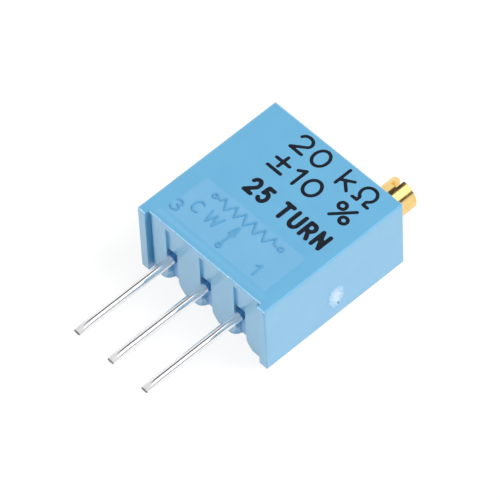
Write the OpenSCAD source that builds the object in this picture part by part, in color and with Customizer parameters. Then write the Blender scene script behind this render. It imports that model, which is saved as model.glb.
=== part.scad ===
// Multi-turn trimmer potentiometer: square housing, adjustment screw on top, three pins in line.
//
// Frame: the printed face looks along +Z, the adjustment screw points along +Y and the pins
// point along -Y. The origin is on the middle pin's axis, in the plane of the standoff feet.
// Inside, a worm cut on the screw drives a worm gear. The gear carries a spring wiper over a
// resistive track that is printed on a ceramic plate. Epoxy seals the open back.

/* [Housing] */
// Width of the housing, across the row of pins
body_w = 9.53; // [9.3:0.01:10.6]
// Height of the housing, from the standoff feet to the screw end
body_h = 9.85; // [9.6:0.01:10.8]
// Thickness of the housing, from its open back to the printed face
body_t = 4.9; // [4.7:0.01:5.6]
// Radius on the edges of the printed face
face_edge_r = 0.13; // [0.05:0.01:0.3]
// Radius on the edges that run from the printed face to the back
corner_r = 0.12; // [0.05:0.01:0.3]
// Radius on the edges of the open back
back_edge_r = 0.08; // [0.03:0.01:0.15]
// Thickness of the two side walls
side_wall = 0.45; // [0.4:0.01:0.6]
// Thickness of the wall at the screw end
top_wall = 0.5; // [0.4:0.01:0.6]
// Thickness of the wall that the pins pass through
pin_wall = 0.83; // [0.75:0.01:0.9]
// Thickness of the wall behind the printed face
front_wall = 0.65; // [0.6:0.01:0.8]
// Width of the ledge that the ceramic plate seats on
ledge_w = 0.3; // [0.2:0.01:0.4]

/* [Pin side] */
// Height of the standoff feet
foot_h = 0.27; // [0.15:0.01:0.35]
// Width of each standoff foot
foot_w = 0.565; // [0.45:0.005:0.65]
// Radius on the printed face's edge between the feet
lip_r = 0.1; // [0.04:0.01:0.15]
// Width of the relief groove beside each foot
groove_w = 0.22; // [0.15:0.01:0.3]
// Depth of the relief groove beside each foot
groove_depth = 0.25; // [0.15:0.01:0.3]
// Wall left between a relief groove and the printed face
groove_roof = 0.18; // [0.12:0.01:0.3]
// Width of the recess round each pin
recess_w = 0.8; // [0.7:0.01:0.95]
// Depth of the recess round each pin
recess_depth = 0.39; // [0.2:0.01:0.45]
// Depth of the shallow channel that runs on from the recess towards the printed face
channel_depth = 0.14; // [0.08:0.01:0.18]
// Wall left between the channel's end and the printed face
recess_roof = 0.42; // [0.3:0.01:0.6]
// Radius of the flare where a pin's recess runs out at the back
flare_r = 0.78; // [0.5:0.01:0.8]
// Radius of the wall's corners at the mouth of each pin's recess
mouth_r = 0.5; // [0.4:0.01:0.6]

/* [Marking panel] */
// Width of the sunken panel that carries the raised marks
panel_w = 8.05; // [7.6:0.01:8.2]
// Height of the sunken panel
panel_h = 3.55; // [3.3:0.01:3.7]
// Distance from the feet to the panel's lower edge
panel_y = 0.7; // [0.6:0.01:0.8]
// Depth of the sunken panel
panel_depth = 0.09; // [0.05:0.01:0.12]
// Radius on the panel's corners
panel_r = 0.12; // [0.05:0.01:0.2]

/* [Pins] */
// Diameter of the round pins
pin_d = 0.51; // [0.45:0.01:0.56]
// Distance between neighbouring pins
pin_pitch = 2.54; // [2.5:0.01:2.6]
// Length of the pins below the standoff feet
pin_l = 6.4; // [3:0.1:12]
// Distance from the back of the housing to the pins' axes
pin_height = 2.3; // [2.2:0.01:2.35]
// Length of the bevel on each end of a pin
pin_bevel = 0.04; // [0.02:0.01:0.08]
// Thickness of a pin's inner end, which is coined flat
tail_t = 0.31; // [0.26:0.01:0.36]
// Length of the flat end that lies on the ceramic plate
tail_l = 0.95; // [0.7:0.01:1.05]
// Length over which a pin turns from round to flat
taper_l = 0.2; // [0.1:0.01:0.25]
// Length of round pin inside the recess round it
round_in = 0.07; // [0.05:0.01:0.15]
// Gap between a pin and the slot in its wall, which the epoxy fills
pin_gap = 0.045; // [0.03:0.005:0.05]
// Distance that the epoxy climbs up each pin from the floor of its recess
climb_l = 0.46; // [0.3:0.01:0.5]

/* [Adjustment screw] */
// Diameter of the screw's head
head_d = 1.94; // [1.9:0.01:2.1]
// Length of the head outside the housing
head_out = 1.27; // [0.8:0.01:1.6]
// Length of the head inside the housing
head_in = 0.6; // [0.4:0.01:0.8]
// Bevel round the end of the head
head_bevel = 0.05; // [0.02:0.01:0.1]
// Width of the driver slot
slot_w = 0.42; // [0.3:0.01:0.6]
// Depth of the driver slot
slot_depth = 0.6; // [0.4:0.01:0.9]
// Direction of the driver slot at rest, from +X towards +Z
slot_angle = 99; // [0:1:180]
// Width of the groove that holds the O-ring
seal_groove_w = 0.5; // [0.48:0.01:0.6]
// Diameter at the bottom of the O-ring groove
seal_groove_d = 1.24; // [1.2:0.01:1.3]
// Thickness of the flange below the O-ring
flange_t = 0.3; // [0.2:0.01:0.4]
// Diameter of the neck that the retainer straddles
neck_d = 1; // [0.9:0.01:1.1]
// Thickness of the collar below the retainer
collar_t = 0.3; // [0.2:0.01:0.4]
// Diameter of the journal at the end of the worm
journal_d = 0.76; // [0.7:0.01:0.76]
// Length of the journal
journal_l = 1; // [0.8:0.01:1.1]
// Distance from the feet to the shoulder where the worm ends
worm_end = 3.2; // [3.1:0.01:3.4]
// Running clearance of the screw in its bores
screw_fit = 0.04; // [0.02:0.005:0.06]

/* [Worm drive] */
// Module of the worm and its gear
tooth_module = 0.17; // [0.165:0.001:0.172]
// Number of teeth on the gear
gear_teeth = 31; // [29:1:31]
// Pitch diameter of the worm
worm_pitch_d = 1.22; // [1.18:0.01:1.24]
// Pressure angle of the teeth
pressure_angle = 20; // [18:0.5:24]
// Play between a tooth and its gap, measured on the pitch line
backlash = 0.05; // [0.03:0.005:0.07]
// Length of the gear's teeth along its axis
gear_t = 1.2; // [1.1:0.01:1.3]
// Distance from the feet to the gear's axis
gear_y = 5.35; // [5.3:0.01:5.45]
// Diameter of the pivot that the gear turns on
pivot_d = 1.56; // [1.4:0.01:1.6]
// Running clearance of the gear on its pivot
pivot_fit = 0.04; // [0.02:0.005:0.06]
// Gap between the gear's teeth and the wall behind the printed face
gear_gap = 0.05; // [0.04:0.005:0.08]
// Width of the raised hub ring that rubs on the wall
hub_ring_w = 0.33; // [0.25:0.01:0.4]
// Thickness of the gear's web
web_t = 0.7; // [0.6:0.01:0.8]
// Width of the gear's rim, inside the roots of its teeth
rim_w = 0.37; // [0.3:0.01:0.45]
// Width of the gear's stop block, as an angle
stop_block_angle = 24; // [16:1:30]
// Angle that the gear turns through to either side, from mid-travel to its stop
stop_travel = 145.4; // [145.4:0.1:146]

/* [Ceramic element] */
// Thickness of the ceramic plate
plate_t = 0.6; // [0.5:0.01:0.7]
// Gap between the ceramic plate and the walls round it
plate_gap = 0.05; // [0.02:0.01:0.08]
// Thickness of the printed films
film_t = 0.02; // [0.015:0.001:0.03]
// Middle radius of the resistive track
track_r = 2; // [1.9:0.01:2.05]
// Width of the resistive track
track_w = 0.5; // [0.45:0.01:0.6]
// Half of the angle that the resistive track covers
track_half_angle = 140; // [135:1:141]
// Angle that each end pad adds to the track
end_pad_angle = 12; // [10:1:14]
// Middle radius of the collector ring
collector_r = 0.83; // [0.8:0.01:0.88]
// Width of the collector ring
collector_w = 0.55; // [0.5:0.01:0.6]
// Width of the printed leads
lead_w = 0.5; // [0.4:0.01:0.6]
// Width of the pad under each pin
pad_w = 1.1; // [1:0.01:1.2]
// Width of the solder along each pin
solder_w = 0.98; // [0.9:0.01:1]
// Gap between a pin and the solder or epoxy round it
solder_gap = 0.004; // [0.002:0.001:0.006]

/* [Wiper] */
// Thickness of the wiper's ring
wiper_t = 0.1; // [0.06:0.01:0.12]
// Inner diameter of the wiper's ring
wiper_bore_d = 1.9; // [1.8:0.01:2]
// Outer diameter of the wiper's ring
wiper_ring_d = 3.4; // [3.3:0.01:3.6]
// Width of one spring finger
finger_w = 0.16; // [0.12:0.01:0.2]
// Gap between the two fingers of a pair
finger_gap = 0.05; // [0.03:0.01:0.08]
// Thickness of a spring finger
finger_t = 0.06; // [0.04:0.01:0.08]
// Length of a spring finger
finger_l = 1.5; // [1.4:0.01:1.6]
// Gap between a fingertip and its track
contact_gap = 0.015; // [0.01:0.001:0.02]
// Diameter of the two pegs that hold the wiper
peg_d = 0.3; // [0.25:0.01:0.35]
// Distance from the gear's axis to each peg
peg_r = 1.32; // [1.28:0.01:1.4]

/* [Seals and retainer] */
// Gap between the O-ring and the groove and bore round it
o_ring_gap = 0.01; // [0.005:0.001:0.02]
// Thickness of the retainer
retainer_t = 0.3; // [0.24:0.01:0.34]
// Width of the retainer
retainer_w = 1.6; // [1.5:0.01:1.6]
// Gap round the retainer in its slot
retainer_gap = 0.02; // [0.01:0.005:0.03]
// Play of the screw's neck along the retainer
neck_play = 0.1; // [0.06:0.01:0.14]
// Distance that the epoxy lies below the rim of the open back
seal_inset = 0.15; // [0.05:0.01:0.25]
// Gap between the epoxy and what it fills
seal_gap = 0.01; // [0.005:0.001:0.02]

/* [Hidden] */
$fn = 48;
past = 0.5;  // how far a cutter runs past the face that it opens
sunk = 0.1;  // how far an added form reaches into what carries it

// Heights above the back
pin_r = pin_d / 2;
plate_front = pin_height - tail_t / 2 - film_t;
plate_back = plate_front - plate_t;
film_front = plate_front + film_t;
front_inner = body_t - front_wall;
gear_front = front_inner - gear_gap;
gear_back = gear_front - gear_t;
screw_z = gear_back + gear_t / 2;

// Worm and gear
thread_pitch = PI * tooth_module;
worm_pitch_r = worm_pitch_d / 2;
worm_r = worm_pitch_r + tooth_module;
worm_root_r = worm_pitch_r - 1.25 * tooth_module;
lead_angle = atan(thread_pitch / (2 * PI * worm_pitch_r));
gear_pitch_r = tooth_module * gear_teeth / 2;
gear_r = gear_pitch_r + tooth_module;
gear_root_r = gear_pitch_r - 1.25 * tooth_module;
gear_base_r = gear_pitch_r * cos(pressure_angle);
gear_bore_r = pivot_d / 2 + pivot_fit;
channel_r = worm_r + screw_fit;
head_bore_r = head_d / 2 + screw_fit;
journal_bore_r = journal_d / 2 + screw_fit;
screw_x = body_w / 2 - side_wall - channel_r;
gear_x = screw_x - gear_pitch_r - worm_pitch_r;

// Hollows of the housing
pocket_x = body_w / 2 - side_wall;
pocket_low = foot_h + pin_wall;
pocket_high = body_h - top_wall;
chamber_x = pocket_x - ledge_w;
chamber_low = pocket_low + ledge_w;
chamber_high = pocket_high - ledge_w;
chamber_r = 0.35;
screw_boss_w = 0.2;      // wall of the screw boss beside the head's bore
journal_boss_w = 0.3;    // wall of the journal boss
journal_boss_y = worm_end - 0.15;
journal_floor = worm_end - journal_l - 0.1;

// Stations along the screw, as distances from the feet
head_y = body_h - head_in;
head_top = body_h + head_out;
flange_top = head_y - seal_groove_w;
flange_y = flange_top - flange_t;
collar_top = flange_y - retainer_t - neck_play;
collar_y = collar_top - collar_t;
retainer_y = (flange_y + collar_top) / 2;
head_bore_floor = flange_y - 0.05;
screw_boss_y = collar_y - 0.2;

// Half widths of a thread or tooth on the pitch line, of the thread's crest and of its gap's floor
tooth_half = (thread_pitch - backlash) / 4;
crest_half = tooth_half - tooth_module * tan(pressure_angle);
floor_half = thread_pitch / 2 - tooth_half - 1.25 * tooth_module * tan(pressure_angle);
thread_sides = 28;

pin_xs = [-pin_pitch, 0, pin_pitch];
track_in = track_r - track_w / 2;
track_out = track_r + track_w / 2;
collector_in = collector_r - collector_w / 2;
collector_out = collector_r + collector_w / 2;
tail_w = PI * pin_r * pin_r / tail_t;  // as much metal as in the round wire
pin_inner_end = chamber_low + tail_l;
recess_floor = foot_h + recess_depth;
groove_r0 = gear_bore_r + hub_ring_w;
groove_r1 = gear_root_r - rim_w;

// ---------------------------------------------------------------- shared forms

// The model is drawn from the back of the housing up, then lowered to the pins' axes.
module placed() {
    translate([0, 0, -pin_height])
        children();
}

// A frame on the screw's axis, with its Z along the screw.
module on_screw_axis() {
    translate([screw_x, 0, screw_z])
        rotate([-90, 0, 0])
            children();
}

// A frame on the gear's axis, at height z.
module on_gear_axis(z) {
    translate([gear_x, gear_y, z])
        children();
}

// An outline in X and Z, drawn out along Y from y0 to y1.
module along_y(y0, y1) {
    translate([0, y1, 0])
        rotate([90, 0, 0])
            linear_extrude(y1 - y0)
                children();
}

// An outline in Y and Z, drawn out along X from x0 to x1.
module along_x(x0, x1) {
    translate([x0, 0, 0])
        rotate([90, 0, 90])
            linear_extrude(x1 - x0)
                children();
}

// A box from one corner to the opposite one.
module block(low, high) {
    translate(low)
        cube(high - low);
}

// A rectangle with radius r on its lower corners and radius s on its upper ones.
module rounded(x0, y0, x1, y1, r, s) {
    union() {
        translate([x0 + r, y0])
            square([x1 - x0 - 2 * r, r]);
        translate([x0, y0 + r])
            square([x1 - x0, y1 - y0 - r - s]);
        translate([x0 + s, y1 - s])
            square([x1 - x0 - 2 * s, s]);
        for (x = [x0 + r, x1 - r])
            translate([x, y0 + r])
                circle(r);
        for (x = [x0 + s, x1 - s])
            translate([x, y1 - s])
                circle(s);
    }
}

// A wedge that spans half_angle to each side of the direction angle, measured from +Y.
module wedge(angle, half_angle, r) {
    rotate(angle)
        polygon([[0, 0], r * [tan(half_angle), 1], r * [-tan(half_angle), 1]]);
}

module ring(r0, r1) {
    difference() {
        circle(r1);
        circle(r0);
    }
}

// ---------------------------------------------------------------- housing

module housing_blank() {
    intersection() {
        translate([0, 0, -past])
            linear_extrude(body_t + 2 * past)
                rounded(-body_w / 2, 0, body_w / 2, body_h, corner_r, corner_r);
        along_y(-past, body_h + past)
            rounded(-body_w / 2, 0, body_w / 2, body_t, back_edge_r, face_edge_r);
        along_x(-body_w / 2 - past, body_w / 2 + past)
            rounded(0, 0, body_h, body_t, back_edge_r, face_edge_r);
    }
}

// What is cut away between the two standoff feet, with a radius left on the lip.
module between_feet() {
    inner = body_w / 2 - foot_w;
    along_x(-inner, inner) {
        translate([-past, -past])
            square([foot_h + past, body_t + 2 * past]);
        difference() {
            translate([foot_h - lip_r, body_t - lip_r])
                square([2 * lip_r, lip_r + past]);
            translate([foot_h + lip_r, body_t - lip_r])
                circle(lip_r);
        }
    }
}

module relief_groove(side) {
    outer = body_w / 2 - foot_w;
    x0 = side > 0 ? outer - groove_w : -outer;
    block([x0, -past, -past], [x0 + groove_w, foot_h + groove_depth, body_t - groove_roof]);
}

// The slot that a pin's flat end drops into from the back, with its faces moved in by the inset.
module pin_slot(y0, y1, z0, inset) {
    half = tail_w / 2 + pin_gap - inset;
    block([-half, y0, z0], [half, y1, pin_height + tail_t / 2 + pin_gap - inset]);
}

// The outline of an opening that widens to its mouth, at 0, round two corners of radius r.
module flared(half, r) {
    difference() {
        translate([-half - r, -past])
            square([2 * (half + r), r + past]);
        for (side = [-1, 1])
            translate([side * (half + r), r])
                circle(r);
    }
}

// The recess round a pin, flared where it meets both the back and the wall, the channel
// above it, and the slot through the wall behind it.
module pin_opening(x) {
    half = recess_w / 2;
    translate([x, 0, 0]) {
        block([-half, -past, -past], [half, recess_floor, pin_height + half]);
        block([-half, -past, pin_height], [half, foot_h + channel_depth, body_t - recess_roof]);
        intersection() {
            along_y(-past, recess_floor)
                flared(half, flare_r);
            translate([0, foot_h, -past])
                linear_extrude(flare_r + past)
                    flared(half, mouth_r);
        }
        pin_slot(foot_h, chamber_low + past, -past, 0);
    }
}

module marking_panel() {
    translate([0, 0, body_t - panel_depth])
        linear_extrude(past)
            rounded(-panel_w / 2, panel_y, panel_w / 2, panel_y + panel_h, panel_r, panel_r);
}

module gear_chamber() {
    difference() {
        translate([0, 0, plate_front - sunk])
            linear_extrude(front_inner - plate_front + sunk)
                rounded(-chamber_x, chamber_low, chamber_x, chamber_high, chamber_r, chamber_r);
        block([screw_x - head_bore_r - screw_boss_w, screw_boss_y, 0], [body_w, body_h, body_t]);
        block([screw_x - journal_bore_r - journal_boss_w, 0, screw_z - journal_bore_r - journal_boss_w],
              [body_w, journal_boss_y, body_t]);
    }
}

module screw_bores() {
    on_screw_axis() {
        translate([0, 0, journal_floor])
            cylinder(r = journal_bore_r, h = journal_boss_y - journal_floor + sunk);
        translate([0, 0, journal_boss_y])
            cylinder(r = channel_r, h = head_bore_floor - journal_boss_y + sunk);
        translate([0, 0, head_bore_floor])
            cylinder(r = head_bore_r, h = body_h - head_bore_floor + past);
    }
    block([screw_x - channel_r, journal_boss_y, plate_front - sunk],
          [screw_x + channel_r, screw_boss_y, screw_z]);
}

module retainer_slot() {
    half = retainer_w / 2 + retainer_gap;
    block([screw_x - half, retainer_y - retainer_t / 2 - retainer_gap, plate_front - sunk],
          [screw_x + half, retainer_y + retainer_t / 2 + retainer_gap, gear_front + retainer_gap]);
}

// The lug on the front wall that the gear's stop block runs against, at the pin side.
module stop_lug() {
    half = 180 - stop_travel - stop_block_angle / 2;
    on_gear_axis(gear_back + web_t + gear_gap)
        linear_extrude(front_inner - gear_back - web_t - gear_gap + sunk)
            intersection() {
                ring(groove_r0 + gear_gap, groove_r1 - gear_gap);
                wedge(180, half, 2 * groove_r1);
            }
}

module pivot() {
    r = pivot_d / 2;
    on_gear_axis(gear_back + gear_gap) {
        cylinder(r1 = r - sunk, r2 = r, h = sunk);
        translate([0, 0, sunk])
            cylinder(r = r, h = front_inner - gear_back - gear_gap);
    }
}

module housing() {
    color("steelblue")
        placed()
            union() {
                difference() {
                    housing_blank();
                    between_feet();
                    relief_groove(-1);
                    relief_groove(1);
                    for (x = pin_xs)
                        pin_opening(x);
                    marking_panel();
                    block([-pocket_x, pocket_low, -past], [pocket_x, pocket_high, plate_front]);
                    gear_chamber();
                    screw_bores();
                    retainer_slot();
                }
                pivot();
                stop_lug();
            }
}

// Epoxy that has climbed up a pin from the floor of its recess, with a hollow outline.
module climbed_epoxy() {
    r0 = pin_r + pin_gap;
    r1 = recess_w / 2 - seal_gap;
    arc_r = ((r1 - r0) * (r1 - r0) + climb_l * climb_l) / (2 * (r1 - r0));
    translate([0, recess_floor, pin_height])
        rotate([90, 0, 0])
            rotate_extrude()
                difference() {
                    square([r1, climb_l]);
                    translate([r0 + arc_r, climb_l])
                        circle(arc_r, $fn = 4 * $fn);
                }
}

// Epoxy poured over the ceramic plate, with a tongue in each pin's slot.
module back_seal() {
    color("royalblue")
        placed()
            difference() {
                union() {
                    block([seal_gap - pocket_x, pocket_low + seal_gap, seal_inset],
                          [pocket_x - seal_gap, pocket_high - seal_gap, plate_back]);
                    for (x = pin_xs)
                        translate([x, 0, 0]) {
                            pin_slot(recess_floor, pocket_low + plate_gap / 2, seal_inset, seal_gap);
                            climbed_epoxy();
                        }
                }
                for (x = pin_xs)
                    translate([x, 0, pin_height])
                        pin_form(solder_gap);
            }
}

// ---------------------------------------------------------------- screw

// The worm: one right-hand thread with straight flanks, as a grid of points that climbs one
// pitch per turn. Each pitch has four rows, and the thread starts and ends bluntly.
module worm(y0, y1) {
    flank = thread_pitch / 2 - floor_half;
    rows_at = [[-flank, worm_root_r], [-crest_half, worm_r], [crest_half, worm_r], [flank, worm_root_r]];
    first = ceil((y0 + sunk / 2 + flank - gear_y) / thread_pitch);
    last = floor((y1 - 2 * sunk - flank - gear_y) / thread_pitch) - 1;
    rows = 4 * (last - first + 1);
    n = thread_sides;
    step = 360 / n;
    function at(r, i, y) = [r * cos(i * step), r * sin(i * step), y];
    function grid(j, i) = n + j * n + i;
    points = concat(
        [for (i = [0 : n - 1]) at(worm_root_r, i, y0)],
        [for (turn = [first : last]) for (row = rows_at) for (i = [0 : n - 1])
            at(row[1], i, gear_y + row[0] + (turn + i / n) * thread_pitch)],
        [for (i = [0 : n - 1]) at(worm_root_r, i, y1)]
    );
    end = n + rows * n;
    faces = concat(
        [[for (i = [0 : n - 1]) i]],
        [[for (i = [n - 1 : -1 : 0]) end + i]],
        [for (i = [0 : n - 2]) each [[i, grid(0, i), i + 1], [grid(0, i), grid(0, i + 1), i + 1]]],
        [[n - 1, grid(0, 0), 0], [n - 1, grid(0, n - 1), grid(4, 0)]],
        [for (j = [0 : 3]) [n - 1, grid(j + 1, 0), grid(j, 0)]],
        [for (j = [0 : rows - 2]) for (i = [0 : n - 2]) each
            [[grid(j, i), grid(j + 1, i), grid(j, i + 1)],
             [grid(j + 1, i), grid(j + 1, i + 1), grid(j, i + 1)]]],
        [for (j = [0 : rows - 6]) each
            [[grid(j, n - 1), grid(j + 1, n - 1), grid(j + 4, 0)],
             [grid(j + 1, n - 1), grid(j + 5, 0), grid(j + 4, 0)]]],
        [for (j = [rows - 5 : rows - 2]) [end, grid(j, n - 1), grid(j + 1, n - 1)]],
        [[end, grid(rows - 1, 0), grid(rows - 5, n - 1)], [end, grid(rows - 1, n - 1), end + n - 1]],
        [for (i = [0 : n - 2]) each
            [[grid(rows - 1, i), end + i, grid(rows - 1, i + 1)],
             [end + i, end + i + 1, grid(rows - 1, i + 1)]]]
    );
    polyhedron(points, faces);
}

module adjustment_screw() {
    r = head_d / 2;
    neck_r = neck_d / 2;
    color("gold")
        placed()
            on_screw_axis()
                difference() {
                    union() {
                        rotate_extrude()
                            polygon([
                                [0, collar_y], [worm_r, collar_y], [worm_r, collar_top],
                                [neck_r, collar_top], [neck_r, flange_y], [r, flange_y],
                                [r, flange_top], [seal_groove_d / 2, flange_top],
                                [seal_groove_d / 2, head_y], [r, head_y],
                                [r, head_top - head_bevel], [r - head_bevel, head_top], [0, head_top]
                            ]);
                        worm(worm_end, collar_y + sunk);
                        translate([0, 0, worm_end - journal_l])
                            cylinder(r = journal_d / 2, h = journal_l + sunk);
                    }
                    rotate([0, 0, -slot_angle])
                        block([-head_d, -slot_w / 2, head_top - slot_depth],
                              [head_d, slot_w / 2, head_top + past]);
                }
}

module o_ring() {
    inner = seal_groove_d / 2 + o_ring_gap;
    outer = head_bore_r - o_ring_gap;
    color("black")
        placed()
            on_screw_axis()
                translate([0, 0, (head_y + flange_top) / 2])
                    rotate_extrude()
                        translate([(inner + outer) / 2, 0])
                            circle((outer - inner) / 2);
}

// A flat U-shaped plate, pushed over the neck from the back before the ceramic plate goes in.
module screw_retainer() {
    neck_r = neck_d / 2 + retainer_gap;
    low = plate_front + 3 * retainer_gap;
    color("lightgrey")
        placed()
            translate([screw_x, 0, 0])
                along_y(retainer_y - retainer_t / 2, retainer_y + retainer_t / 2)
                    difference() {
                        rounded(-retainer_w / 2, low, retainer_w / 2, gear_front, sunk, sunk);
                        translate([0, screw_z])
                            circle(neck_r);
                        translate([-neck_r, screw_z])
                            square([2 * neck_r, body_t]);
                    }
}

// ---------------------------------------------------------------- rotor

function involute(a) = tan(a) * 180 / PI - a;

// Half of the angle that a gap takes up at radius r, between two involute flanks.
function gap_half_angle(r) =
    let (tooth_angle = tooth_half / gear_pitch_r * 180 / PI)
    180 / gear_teeth - tooth_angle - involute(pressure_angle) + involute(acos(min(1, gear_base_r / r)));

module tooth_gap() {
    radii = concat([gear_root_r], [for (k = [0 : 4]) gear_base_r + (gear_r + sunk / 2 - gear_base_r) * k / 4]);
    side = [for (r = radii) r * [cos(gap_half_angle(r)), sin(gap_half_angle(r))]];
    polygon(concat(side, [for (k = [len(side) - 1 : -1 : 0]) [side[k][0], -side[k][1]]]));
}

module rotor_gear() {
    color("ivory")
        placed()
            on_gear_axis(gear_back) {
                difference() {
                    union() {
                        difference() {
                            cylinder(r = gear_r, h = gear_t);
                            translate([0, 0, web_t])
                                linear_extrude(gear_t)
                                    difference() {
                                        circle(groove_r1);
                                        wedge(0, stop_block_angle / 2, 2 * groove_r1);
                                    }
                        }
                        cylinder(r = groove_r0, h = gear_t + gear_gap / 2);
                    }
                    translate([0, 0, -past])
                        cylinder(r = gear_bore_r, h = gear_t + 2 * past);
                    for (k = [0 : gear_teeth - 1])
                        rotate([0, 0, (k + 0.5) * 360 / gear_teeth])
                            translate([0, 0, gear_t / 2])
                                rotate([-lead_angle, 0, 0])
                                    linear_extrude(2 * gear_t, center = true)
                                        tooth_gap();
                }
                for (side = [-1, 1])
                    translate([side * peg_r, 0, -wiper_t]) {
                        cylinder(d = peg_d, h = wiper_t + sunk);
                        translate([0, 0, -0.8 * wiper_t])
                            cylinder(d1 = peg_d, d2 = 1.6 * peg_d, h = 0.8 * wiper_t);
                    }
            }
}

// One spring finger, bent down from the ring's plane to end above a film, with its tip at x = 0.
module finger(y) {
    drop = gear_back - wiper_t - film_front - contact_gap;
    along_y(y - finger_w / 2, y + finger_w / 2)
        polygon([
            [-finger_l, wiper_t], [-finger_l, 0], [-finger_t, -drop], [finger_t, -drop],
            [2 * finger_t, finger_t - drop], [2 * finger_t, 2 * finger_t - drop],
            [0, finger_t - drop], [finger_t - finger_l, wiper_t]
        ]);
}

module finger_pair(r) {
    apart = (finger_w + finger_gap) / 2;
    finger(r - apart);
    finger(r + apart);
    translate([-finger_l - finger_w, r - apart - finger_w / 2, 0])
        cube([2 * finger_w, 2 * apart + finger_w, wiper_t]);
}

module wiper_contact() {
    color("goldenrod")
        placed()
            on_gear_axis(gear_back - wiper_t)
                difference() {
                    union() {
                        linear_extrude(wiper_t)
                            ring(wiper_bore_d / 2, wiper_ring_d / 2);
                        finger_pair(track_r);
                        rotate([0, 0, 180])
                            finger_pair(collector_r);
                        block([-finger_l - finger_w, 0, 0],
                              [finger_w - finger_l, track_r, wiper_t]);
                    }
                    for (side = [-1, 1])
                        translate([side * peg_r, 0, -past])
                            cylinder(d = peg_d + 2 * retainer_gap, h = 2 * past);
                }
}

// ---------------------------------------------------------------- ceramic element

module ceramic_substrate() {
    color("white")
        placed()
            block([plate_gap - pocket_x, pocket_low + plate_gap, plate_back],
                  [pocket_x - plate_gap, pocket_high - plate_gap, plate_front]);
}

module film() {
    placed()
        translate([0, 0, plate_front])
            linear_extrude(film_t)
                children();
}

module resistive_track() {
    color("dimgrey")
        film()
            translate([gear_x, gear_y])
                difference() {
                    ring(track_in, track_out);
                    wedge(180, 180 - track_half_angle, 2 * track_out);
                }
}

// The pad under a pin, from the wall to just past the solder.
module pin_pad(x) {
    translate([x - pad_w / 2, chamber_low])
        square([pad_w, tail_l + 0.3]);
}

module collector_track() {
    color("silver")
        film()
            union() {
                translate([gear_x, gear_y])
                    ring(collector_in, collector_out);
                pin_pad(0);
                lead([gear_x, pin_inner_end], [gear_x, gear_y - collector_r]);
            }
}

// A printed lead from one point to another.
module lead(start, end) {
    way = end - start;
    translate(start)
        rotate(atan2(way[1], way[0]))
            translate([0, -lead_w / 2])
                square([norm(way), lead_w]);
}

// The pad at one end of the track, with its lead down to a pin.
module end_pad(side) {
    middle = track_half_angle + end_pad_angle / 2;
    far = track_half_angle + end_pad_angle;
    pin_x = side * pin_pitch;
    color("silver")
        film()
            union() {
                translate([gear_x, gear_y])
                    intersection() {
                        ring(track_in, track_out);
                        wedge(-side * middle, end_pad_angle / 2, 2 * track_out);
                    }
                pin_pad(pin_x);
                lead([pin_x, pin_inner_end],
                     [gear_x, gear_y] + track_r * [side * sin(far), cos(far)]);
            }
}

module end_pad_1() {
    end_pad(1);
}

module end_pad_3() {
    end_pad(-1);
}

// ---------------------------------------------------------------- pins

// A pin's form, grown by the margin: a round wire, coined flat where it enters the housing.
module pin_form(margin) {
    r = pin_r + margin;
    tip = -pin_l - margin;
    end = pin_inner_end + margin;
    round_end = foot_h + round_in;
    half_w = tail_w / 2 + margin;
    half_t = tail_t / 2 + margin;
    intersection() {
        rotate([-90, 0, 0])
            rotate_extrude()
                polygon([
                    [0, tip], [r - pin_bevel, tip], [r, tip + pin_bevel], [r, round_end],
                    [2 * half_w, round_end + taper_l], [2 * half_w, end], [0, end]
                ]);
        along_x(-pin_pitch / 2, pin_pitch / 2)
            polygon([
                [tip - past, -2 * r], [round_end, -2 * r], [round_end, -r],
                [round_end + taper_l, -half_t], [end + past, -half_t],
                [end + past, half_t], [round_end + taper_l, half_t],
                [round_end, r], [round_end, 2 * r], [tip - past, 2 * r]
            ]);
        block([-half_w, tip - past, -2 * r], [half_w, end + past, 2 * r]);
    }
}

module pin(x) {
    color("silver")
        translate([x, 0, 0])
            pin_form(0);
}

// Solder that wets a pin's flat end and its pad, with hollow fillets on both sides.
module solder(x) {
    half = solder_w / 2;
    fillet = half - tail_w / 2;
    color("darkgrey")
        placed()
            translate([x, 0, 0])
                difference() {
                    along_y(chamber_low + fillet, pin_inner_end + fillet)
                        difference() {
                            translate([-half, film_front])
                                square([solder_w, tail_t / 2]);
                            for (side = [-1, 1])
                                translate([side * half, film_front + fillet])
                                    circle(0.9 * fillet);
                        }
                    translate([0, 0, pin_height])
                        pin_form(solder_gap);
                }
}

module pin_1() {
    pin(pin_pitch);
}

module pin_2() {
    pin(0);
}

module pin_3() {
    pin(-pin_pitch);
}

module solder_1() {
    solder(pin_pitch);
}

module solder_2() {
    solder(0);
}

module solder_3() {
    solder(-pin_pitch);
}

housing();
back_seal();
adjustment_screw();
o_ring();
screw_retainer();
rotor_gear();
wiper_contact();
ceramic_substrate();
resistive_track();
collector_track();
end_pad_1();
end_pad_3();
pin_1();
pin_2();
pin_3();
solder_1();
solder_2();
solder_3();
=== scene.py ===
"""A square multi-turn trimmer potentiometer: its finishes, its moulded and printed marks, its bright pins and
the studio round it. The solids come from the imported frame, and everything here is placed from them."""

import math

import bmesh
import bpy
from mathutils import Matrix, Vector


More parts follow.
